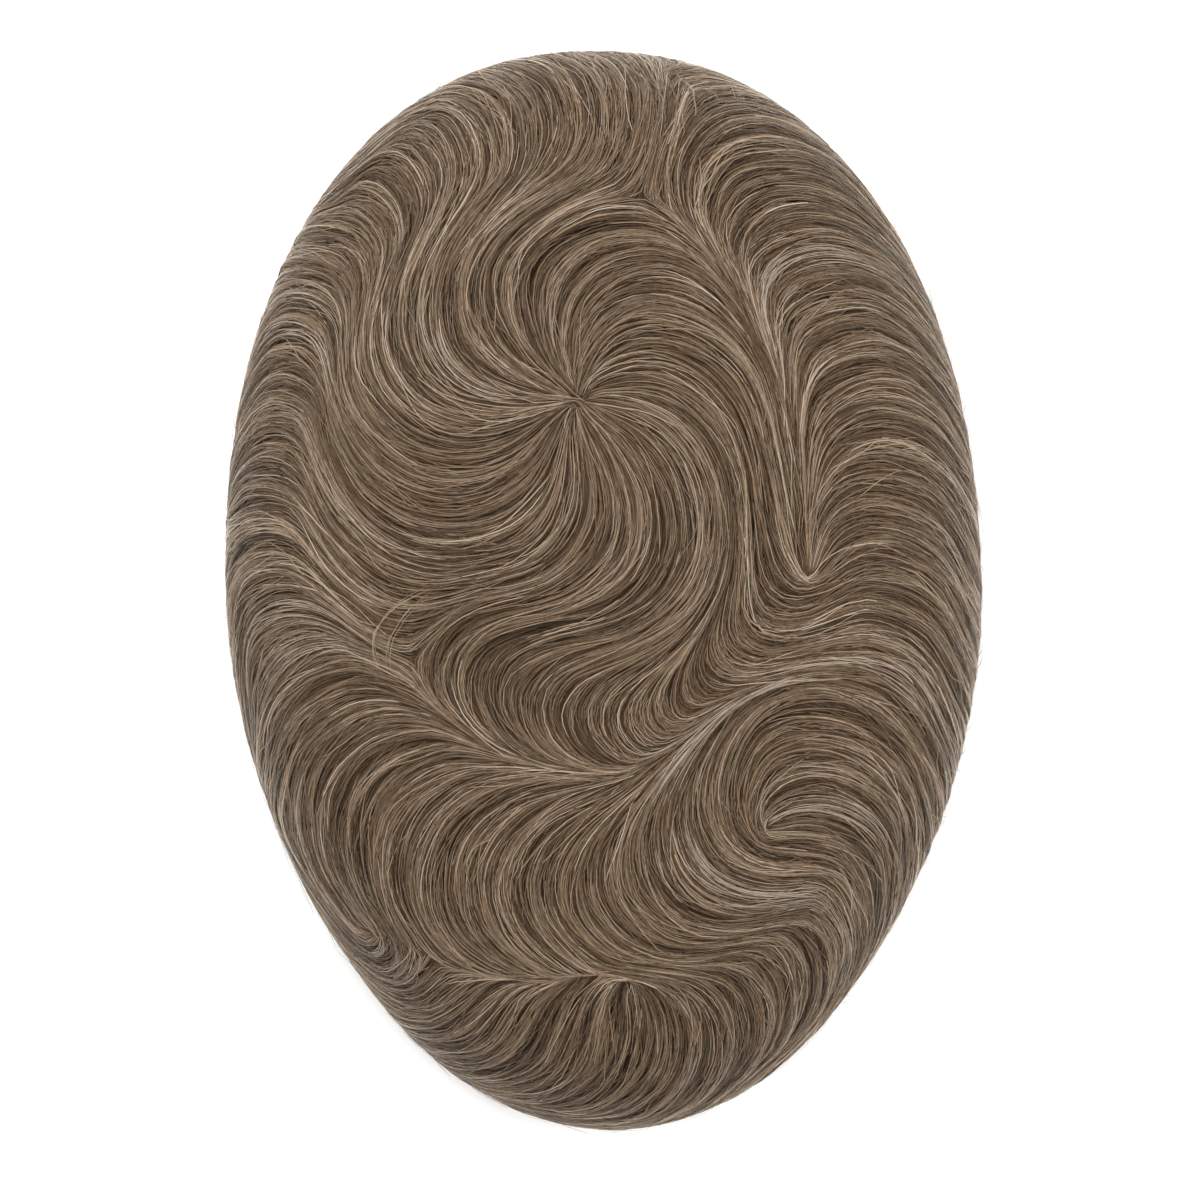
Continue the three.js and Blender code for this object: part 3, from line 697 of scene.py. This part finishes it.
def trace(seeds, sign, sway, wave):
    """Places along each strand from its seed, and how many steps it goes before it ends."""
    spots = seeds.copy()
    heading = flow(spots, np.array([1.0, 0.0])) * sign
    whorl = flat_place([WHORL])[0]
    end = RIM_FALL - 0.03 * rng.random(len(seeds))
    going = np.ones(len(seeds), bool)
    length = np.zeros(len(seeds))
    path = [spots.copy()]
    for number in range(REACH_STEPS):
        ahead = flow(spots, heading, sway * np.cos(wave[:, 0] + sign * number * wave[:, 1]))
        across, along, _ = slopes(spots)
        speed = np.linalg.norm(across * ahead[:, :1] + along * ahead[:, 1:], axis=1)
        moved = spots + ahead * (STEP / np.maximum(speed, 0.2))[:, None]
        going &= (ahead * heading).sum(1) > SHARP_TURN
        going &= fall_of(moved) < end
        going &= np.linalg.norm(moved - whorl, axis=1) > WHORL_GAP
        spots = np.where(going[:, None], moved, spots)
        heading = ahead
        length += going
        path.append(spots.copy())
    return np.array(path), length


def scattered(count):
    """Random places spread evenly over the real surface of the form."""
    found = []
    total = 0
    while total < count:
        tries = (rng.random((count, 2)) * 2 - 1) * HALVES * RIM_FALL
        across, along, _ = slopes(tries)
        area = np.linalg.norm(np.cross(across, along), axis=1)
        kept = (fall_of(tries) < RIM_FALL - 0.01) & (rng.random(count) * 1.6 < area)
        found.append(tries[kept])
        total += kept.sum()
    return np.vstack(found)[:count]


def turn_costs(path):
    """Running length of each path, in which a step that turns counts for more than a straight one."""
    legs = np.diff(path, axis=0)
    legs /= np.maximum(np.linalg.norm(legs, axis=2, keepdims=True), 1e-9)
    bend = np.abs(legs[:-1, :, 0] * legs[1:, :, 1] - legs[:-1, :, 1] * legs[1:, :, 0])
    bend = np.concatenate([bend[:1], bend, bend[-1:]])
    costs = 1 + TURN_COST * (bend[:-1] + bend[1:]) / 2
    return np.concatenate([np.zeros((1, path.shape[1])), np.cumsum(costs, 0)])


def strand_places(seeds, lengths, sway, wave):
    """Places along each strand, laid both ways from its seed and closer together where it turns."""
    ahead, steps_ahead = trace(seeds, 1, sway, wave)
    behind, steps_behind = trace(seeds, -1, sway, wave)
    split = rng.random(len(seeds))
    path = np.concatenate([behind[:0:-1], ahead])
    running = turn_costs(path)
    column = np.arange(len(seeds))
    middle = running[REACH_STEPS]
    start = running[REACH_STEPS - steps_behind.astype(int), column]
    end = running[REACH_STEPS + steps_ahead.astype(int), column]
    first = np.maximum(middle - lengths * split, start)
    last = np.minimum(middle + lengths * (1 - split), end)
    marks = first + (last - first) * np.linspace(0, 1, RINGS)[:, None]
    numbers = np.arange(len(path))
    spot = np.stack([np.interp(mark, line, numbers) for mark, line in zip(marks.T, running.T)], 1)
    spot = np.clip(spot, 0, len(path) - 1.001)
    low = spot.astype(int)
    part = (spot - low)[..., None]
    places = path[low, column] * (1 - part) + path[low + 1, column] * part
    return places.transpose(1, 0, 2), spot[-1] - spot[0]


def gathered(places):
    """Places drawn a little towards the middle of their clump."""
    pull = clump_sheet.read(clump_slope, places)
    shift = np.clip(pull * GATHER_REACH ** 2, -GATHER_MOST, GATHER_MOST)
    shift[:, 0] *= GATHER_AT_ENDS
    shift[:, -1] *= GATHER_AT_ENDS
    return places + shift


def strip_points(centres, outward, halves, tilt):
    """The two edges of a thin flat strip along each row of centres."""
    tangent = np.gradient(centres, axis=1)
    tangent /= np.maximum(np.linalg.norm(tangent, axis=2, keepdims=True), 1e-9)
    side = np.cross(tangent, outward)
    side /= np.maximum(np.linalg.norm(side, axis=2, keepdims=True), 1e-9)
    up = np.cross(side, tangent)
    lean = side * np.cos(tilt)[:, None, None] + up * np.sin(tilt)[:, None, None]
    return np.stack([centres - lean * halves[..., None], centres + lean * halves[..., None]], 2)


def strip_faces(count):
    """Quads along each strip."""
    first = (np.arange(count) * RINGS * 2)[:, None] + np.arange(RINGS - 1) * 2
    return np.stack([first, first + 2, first + 3, first + 1], -1).reshape(-1, 4)


def mesh_object(name, points, quads, triangles, tint, material):
    """A smooth mesh object with a tint at each point."""
    mesh = bpy.data.meshes.new(name)
    corners = np.concatenate([quads.ravel(), triangles.ravel()]).astype(np.int32)
    starts = np.concatenate([np.arange(len(quads)) * 4, quads.size + np.arange(len(triangles)) * 3])
    mesh.vertices.add(len(points))
    mesh.vertices.foreach_set("co", points.astype(np.float32).ravel())
    mesh.loops.add(len(corners))
    mesh.loops.foreach_set("vertex_index", corners)
    mesh.polygons.add(len(starts))
    mesh.polygons.foreach_set("loop_start", starts.astype(np.int32))
    mesh.update(calc_edges=True)
    layer = mesh.attributes.new("strand", "FLOAT_COLOR", "POINT")
    layer.data.foreach_set("color", tint.astype(np.float32).ravel())
    mesh.polygons.foreach_set("use_smooth", np.ones(len(starts), bool))
    mesh.materials.append(material)
    obj = bpy.data.objects.new(name, mesh)
    bpy.context.scene.collection.objects.link(obj)
    return obj


# Materials
def add_node(tree, kind, **settings):
    node = tree.nodes.new(kind)
    for name, value in settings.items():
        setattr(node, name, value)
    return node


def ramp(tree, factor, stops):
    node = add_node(tree, "ShaderNodeValToRGB")
    elements = node.color_ramp.elements
    while len(elements) < len(stops):
        elements.new(0.5)
    for element, (place, colour) in zip(elements, stops):
        element.position = place
        element.color = (*colour, 1)
    tree.links.new(factor, node.inputs["Fac"])
    return node.outputs["Color"]


def maths(tree, operation, *values):
    node = add_node(tree, "ShaderNodeMath", operation=operation)
    for socket, value in zip(node.inputs, values):
        if isinstance(value, (int, float)):
            socket.default_value = value
        else:
            tree.links.new(value, socket)
    return node.outputs[0]


def noise(tree, scale, detail=2.0, stretch=(1, 1, 1)):
    place = add_node(tree, "ShaderNodeTexCoord").outputs["Object"]
    mapping = add_node(tree, "ShaderNodeMapping")
    mapping.inputs["Scale"].default_value = stretch
    tree.links.new(place, mapping.inputs["Vector"])
    node = add_node(tree, "ShaderNodeTexNoise")
    node.inputs["Scale"].default_value = scale
    node.inputs["Detail"].default_value = detail
    tree.links.new(mapping.outputs["Vector"], node.inputs["Vector"])
    return node.outputs["Fac"]


def tinted(tree, colour, tint, amount):
    node = add_node(tree, "ShaderNodeMix", data_type="RGBA", blend_type="MULTIPLY")
    node.inputs["Factor"].default_value = amount
    tree.links.new(colour, node.inputs[6])
    tree.links.new(tint, node.inputs[7])
    return node.outputs[2]


def new_material(name):
    material = bpy.data.materials.new(name)
    material.use_nodes = True
    tree = material.node_tree
    return material, tree, tree.nodes["Principled BSDF"]


HAIR_TONES = [
    (0.00, (0.020, 0.011, 0.005)),
    (0.30, (0.090, 0.057, 0.032)),
    (0.55, (0.200, 0.146, 0.101)),
    (0.80, (0.350, 0.287, 0.230)),
    (1.00, (0.560, 0.515, 0.465)),
]
HAIR_TINTS = [
    (0.00, (1.00, 0.90, 0.83)),
    (0.35, (1.00, 0.98, 0.94)),
    (0.70, (1.00, 0.96, 0.84)),
    (1.00, (0.93, 0.97, 1.00)),
]


def hair_material(name, shade):
    """Brown hair whose tone and tint come from each strand, with a fine flicker along it; a shade below 1
    scales the tone down as painted shade.
    """
    material, tree, shader = new_material(name)
    strand = add_node(tree, "ShaderNodeAttribute", attribute_name="strand")
    parts = add_node(tree, "ShaderNodeSeparateColor")
    tree.links.new(strand.outputs["Color"], parts.inputs["Color"])
    flicker = noise(tree, 900, 3)
    tone = maths(tree, "MULTIPLY_ADD", maths(tree, "SUBTRACT", flicker, 0.5), 0.22, parts.outputs["Red"])
    tone = maths(tree, "MULTIPLY", tone, shade)
    colour = tinted(tree, ramp(tree, tone, HAIR_TONES), ramp(tree, parts.outputs["Green"], HAIR_TINTS), 1.0)
    tree.links.new(colour, shader.inputs["Base Color"])
    rough = maths(tree, "MULTIPLY_ADD", flicker, 0.18, 0.46)
    tree.links.new(rough, shader.inputs["Roughness"])
    shader.inputs["Specular IOR Level"].default_value = 0.13
    shader.inputs["Sheen Weight"].default_value = 1.0
    shader.inputs["Sheen Roughness"].default_value = 0.3
    shader.inputs["Sheen Tint"].default_value = (1.0, 0.89, 0.78, 1)
    bump = add_node(tree, "ShaderNodeBump")
    bump.inputs["Strength"].default_value = 0.25
    bump.inputs["Distance"].default_value = 0.05 * MM
    tree.links.new(noise(tree, 2600, 2), bump.inputs["Height"])
    tree.links.new(bump.outputs["Normal"], shader.inputs["Normal"])
    return material


def cloth_material(name):
    """Fine woven cloth of the cap, in a plain brown."""
    material, tree, shader = new_material(name)
    place = add_node(tree, "ShaderNodeTexCoord").outputs["Object"]
    parts = add_node(tree, "ShaderNodeSeparateXYZ")
    tree.links.new(place, parts.inputs["Vector"])
    turns = 2 * math.pi / (0.6 * MM)
    warp = maths(tree, "SINE", maths(tree, "MULTIPLY", parts.outputs["X"], turns))
    weft = maths(tree, "SINE", maths(tree, "MULTIPLY", parts.outputs["Y"], turns))
    threads = maths(tree, "MULTIPLY", warp, weft)
    level = maths(tree, "MULTIPLY_ADD", threads, 0.5, 0.5)
    worn = maths(tree, "MULTIPLY_ADD", noise(tree, 140, 4), 0.4, maths(tree, "MULTIPLY", level, 0.6))
    colour = ramp(tree, worn, [(0.1, (0.055, 0.036, 0.024)), (0.6, (0.13, 0.09, 0.06)),
                               (0.95, (0.21, 0.155, 0.11))])
    tree.links.new(colour, shader.inputs["Base Color"])
    tree.links.new(maths(tree, "MULTIPLY_ADD", level, -0.12, 0.92), shader.inputs["Roughness"])
    bump = add_node(tree, "ShaderNodeBump")
    bump.inputs["Strength"].default_value = 0.5
    bump.inputs["Distance"].default_value = 0.15 * MM
    tree.links.new(level, bump.inputs["Height"])
    tree.links.new(bump.outputs["Normal"], shader.inputs["Normal"])
    return material


strand_material = hair_material("hair_strands", 1.0)
# Painted shade: the body shows only between the strands, so its tone is scaled down to 0.62
body_material = hair_material("hair_body", 0.62)


# Body of hair under the strands, painted darker as the shade between them
def disc_grid(count):
    """Even grid of a square laid on a disc, as radius and direction, with the faces of the square."""
    line = np.linspace(-1, 1, count)
    x, y = np.meshgrid(line, line)
    x, y = x * np.sqrt(1 - y ** 2 / 2), y * np.sqrt(1 - x ** 2 / 2)
    radius = np.hypot(x, y)
    direction = np.stack([x, y], -1) / np.maximum(radius, 1e-9)[..., None]
    index = np.arange(count * count).reshape(count, count)
    quads = np.stack([index[:-1, :-1], index[:-1, 1:], index[1:, 1:], index[1:, :-1]], -1).reshape(-1, 4)
    edge = np.concatenate([index[0, :-1], index[:-1, -1], index[-1, :0:-1], index[:0:-1, 0]])
    return radius.ravel(), direction.reshape(-1, 2), quads, edge


def hollow_point(direction, fall):
    """Point of the hollow inside the hair, just clear of the cap."""
    halves = CAP_HALVES + CAP_GAP
    out = direction / shares_norm(direction[:, 0] / halves[0], direction[:, 1] / halves[1])[:, None]
    arc = (1 - fall) * math.pi / 2
    flat = out * math.cos(arc) ** (2 / SIDE_POWER)
    height = (CAP_TOP + CAP_GAP) * math.sin(arc) ** (2 / SIDE_POWER)
    return np.concatenate([flat, np.full((len(flat), 1), height)], 1)


def make_body(count, rings):
    """Closed body of hair: the combed outside, a floor rim and the smooth hollow."""
    radius, direction, quads, edge = disc_grid(count)
    reach = shares_norm(direction[:, 0] / HALVES[0], direction[:, 1] / HALVES[1])
    places = direction * (radius * RIM_FALL / np.maximum(reach, 1e-9))[:, None]
    across, along, normal = slopes(places)
    lift = lift_of(places) - BODY_SINK
    points = on_form(places) + normal * lift[:, None]
    points[:, 2] = np.maximum(points[:, 2], 0)
    # Painted shade in the hollows between clumps and ribs, painted light on their raised parts
    tone = (BODY_TONE + BODY_CLUMP_PAINTED_SHADE * clump_sheet.read(clumps, places)
            + BODY_RIB_PAINTED_SHADE * clump_sheet.read(ribs, places))
    # Painted rim light, stronger on the body than on the strands
    tone += BODY_RIM_PAINTED_LIGHT * painted_rim_light(places)
    faces = [quads]
    layers = [points]
    tones = [tone]
    last = edge
    total = len(points)
    for ring in range(rings):
        inner = hollow_point(direction[edge], 1 - ring / rings)
        layers.append(inner)
        tones.append(np.full(len(inner), HOLLOW_TONE))
        loop = total + np.arange(len(edge))
        faces.append(np.stack([np.roll(last, -1), last, loop, np.roll(loop, -1)], 1))
        last = loop
        total += len(inner)
    layers.append(np.array([[0, 0, CAP_TOP + CAP_GAP]]))
    tones.append(np.array([HOLLOW_TONE]))
    fan = np.stack([np.roll(last, -1), last, np.full(len(last), total)], 1)
    tone = np.concatenate(tones)
    tint = np.stack([tone, np.full(len(tone), BODY_HUE), np.zeros(len(tone)), np.ones(len(tone))], 1)
    return mesh_object("hair_body", np.vstack(layers), np.vstack(faces), fan, tint, body_material)


body = make_body(BODY_GRID, BODY_RINGS)
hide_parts("hair")
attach(body, "root")


# Strands
def strand_tint(places, base, hue):
    """Tone and tint along each strand."""
    clump = clump_sheet.read(clumps, places)
    rib = clump_sheet.read(ribs, places)
    ridge = field_sheet.read(ridges, places)
    # Painted shade in the hollows between clumps and ribs, painted light on their raised parts
    tone = np.clip(base, *TONE_RANGE)[:, None] + CLUMP_PAINTED_SHADE * clump + RIB_PAINTED_SHADE * rib
    # Painted light along the raised ridges and painted shade away from them
    tone = tone + RIDGE_PAINTED_LIGHT * (ridge - RIDGE_EVEN)
    # Painted rim light, and each band's painted light and shade
    tone += painted_rim_light(places) + field_sheet.read(band_painted_light_and_shade, places)
    hues = np.broadcast_to(hue[:, None], tone.shape)
    tint = np.stack([tone, hues, np.zeros(tone.shape), np.ones(tone.shape)], -1)
    return np.repeat(np.clip(tint, 0, 1)[:, :, None], 2, 2)


def make_strands(name, places, rise, base, hue, width):
    """One piece of strands, each a thin strip that follows its places at a rise over the surface."""
    _, _, normal = slopes(places)
    centres = on_form(places) + normal * (lift_of(places) + rise)[..., None]
    halves = width[:, None] / 2 * (0.25 + 0.75 * (1 - ALONG ** 6))
    tilt = STRIP_TILT * (rng.random(len(places)) * 2 - 1)
    points = strip_points(centres, normal, halves, tilt)
    points[..., 2] = np.maximum(points[..., 2], 0.1 * MM)
    tint = strand_tint(places, base, hue)
    none = np.zeros((0, 3), int)
    faces = strip_faces(len(places))
    piece = mesh_object(name, points.reshape(-1, 3), faces, none, tint.reshape(-1, 4), strand_material)
    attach(piece, "root")


def band_of(places):
    """Number of the band that each place lies in."""
    spot = np.rint((places - field_sheet.low) / FIELD_CELL).astype(int)
    col, row = np.clip(spot, 0, field_sheet.counts - 1).T
    return band_field[row, col]


def waves(count, least, spread):
    """Where each strand's sway starts and how fast it turns over."""
    return np.stack([rng.random(count) * 2 * math.pi, least + spread * rng.random(count)], 1)


def pile_rise(share):
    """Rise along each strand that lies in the pile, with both ends dipped into the body."""
    return share[:, None] * PILE_DEPTH * (1 - ALONG ** 4) - END_DIP * ALONG ** 8


def comb():
    """All the strands that lie in the hair, one piece for each band; both ends dip into the body."""
    seeds = scattered(STRANDS)
    count = len(seeds)
    lengths = LENGTH + LENGTH_SPREAD * rng.random(count)
    stray = rng.random(count) < STRAY_SHARE
    sway = np.radians(SWAY + STRAY_SWAY * stray) * rng.standard_normal(count)
    places, steps = strand_places(seeds, lengths, sway, waves(count, *WAVE))
    places = gathered(places)
    layer = np.where(stray, 1.0, rng.random(count))
    # Painted shade: strands lower in the pile are painted darker
    base = TONE + TONE_SPREAD * rng.standard_normal(count) + STRAY_TONE * stray + LAYER_PAINTED_SHADE * (layer - 0.5)
    rise = pile_rise(layer) * np.clip((PILE_END - fall_of(places)) / PILE_FADE, PILE_LEAST, 1)
    hue = rng.random(count)
    width = STRAND_WIDTH * (0.6 + 0.8 * rng.random(count))
    bands = band_of(seeds)
    for number, name in enumerate(GUIDES):
        kept = (bands == number) & (steps > LEAST_STEPS)
        if kept.any():
            make_strands("strands_" + name, places[kept], rise[kept], base[kept], hue[kept], width[kept])


def loosen():
    """Thin loose hairs over the combed surface, and short wisps that soften the rim."""
    seeds = scattered(LOOSE)
    count = len(seeds)
    rim = fall_of(seeds) > WISP_FROM
    lengths = np.where(rim, WISP_LENGTH, LOOSE_LENGTH) + LOOSE_LENGTH_SPREAD * rng.random(count)
    sway = np.radians(LOOSE_SWAY) * rng.standard_normal(count)
    places, steps = strand_places(seeds, lengths, sway, waves(count, *LOOSE_WAVE))
    free = (1 + ALONG * rng.choice([-1, 1], (count, 1))) / 2
    stand = np.where(rim, WISP_STAND, LOOSE_STAND) * rng.random(count)
    rise = LOOSE_START + stand[:, None] * free ** 2
    base = LOOSE_TONE + LOOSE_TONE_SPREAD * rng.standard_normal(count)
    width = LOOSE_WIDTH * (0.7 + 0.6 * rng.random(count))
    kept = steps > LOOSE_LEAST_STEPS
    make_strands("loose_hairs", places[kept], rise[kept], base[kept], rng.random(kept.sum()), width[kept])


def light_streaks():
    """Small bundles of paler hair along the field, at the places charted from the photo."""
    spots = flat_place(LIGHT_SPOTS).repeat(LIGHT_GROUP, 0)
    count = len(spots)
    seeds = spots + LIGHT_SPREAD * rng.standard_normal((count, 2))
    lengths = LIGHT_LENGTH + LIGHT_LENGTH_SPREAD * rng.random(count)
    sway = np.radians(LIGHT_SWAY) * rng.standard_normal(count)
    places, steps = strand_places(seeds, lengths, sway, waves(count, *LIGHT_WAVE))
    rise = pile_rise(0.95 + 0.2 * rng.random(count))
    base = LIGHT_TONE + LIGHT_TONE_SPREAD * rng.standard_normal(count)
    hue = 0.95 + 0.05 * rng.random(count)
    width = LIGHT_WIDTH * (0.8 + 0.4 * rng.random(count))
    kept = steps > LEAST_STEPS
    make_strands("light_streaks", places[kept], rise[kept], base[kept], hue[kept], width[kept])


def fly_away():
    """The few stray hairs that cross the others, each row laid as a small group of thin hairs."""
    rows = []
    for row in FLY_AWAYS:
        samples = curve_through(flat_place(row), STEP)
        numbers = np.arange(len(samples))
        marks = np.linspace(0, numbers[-1], RINGS)
        line = np.stack([np.interp(marks, numbers, part) for part in samples.T], 1)
        rows.extend(line + FLY_SPREAD * rng.standard_normal(2) for _ in range(FLY_GROUP))
    places = np.array(rows)
    count = len(places)
    rise = FLY_RISE + (0.5 + rng.random(count))[:, None] * MM * (1 - ALONG ** 2)
    width = FLY_WIDTH * (0.8 + 0.4 * rng.random(count))
    make_strands("fly_aways", places, rise, np.full(count, FLY_TONE), rng.random(count), width)


comb()
loosen()
light_streaks()
fly_away()

# The cap under the hair
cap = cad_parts["base_cap"]
cap_cloth = cloth_material("cap_cloth")
for slot in cap.material_slots:
    slot.material = cap_cloth


# Floor, camera and light
def make_floor():
    mesh = bpy.data.meshes.new("floor")
    half = 3.0
    corners = [(-half, -half, 0), (half, -half, 0), (half, half, 0), (-half, half, 0)]
    mesh.from_pydata(corners, [], [(0, 1, 2, 3)])
    floor = bpy.data.objects.new("floor", mesh)
    bpy.context.scene.collection.objects.link(floor)
    material, tree, shader = new_material("floor")
    shader.inputs["Base Color"].default_value = (0.93, 0.93, 0.93, 1)
    shader.inputs["Roughness"].default_value = 0.9
    mesh.materials.append(material)


def make_camera():
    data = bpy.data.cameras.new("camera")
    data.lens = LENS
    data.sensor_width = SENSOR
    data.clip_end = 50
    camera = bpy.data.objects.new("camera", data)
    camera.location = (*CAMERA_PLACE, WIDEST + CAMERA_RISE)
    bpy.context.scene.collection.objects.link(camera)
    bpy.context.scene.camera = camera


def make_light(name, place, size, power):
    data = bpy.data.lights.new(name, "AREA")
    data.shape = "DISK"
    data.size = size
    data.energy = power
    light = bpy.data.objects.new(name, data)
    light.location = place
    aim = -np.array(place) / np.linalg.norm(place)
    light.rotation_euler = (math.acos(-aim[2]), 0, math.atan2(-aim[0], aim[1]))
    bpy.context.scene.collection.objects.link(light)


make_floor()
make_camera()
make_light("key", (-0.6, 1.0, 1.5), 1.0, 24)
make_light("fill", (1.1, -0.35, 1.4), 1.2, 15)
world = bpy.data.worlds.new("studio")
world.use_nodes = True
world.node_tree.nodes["Background"].inputs["Color"].default_value = (1, 1, 1, 1)
world.node_tree.nodes["Background"].inputs["Strength"].default_value = 1.15
bpy.context.scene.world = world
bpy.context.scene.view_settings.view_transform = "Standard"
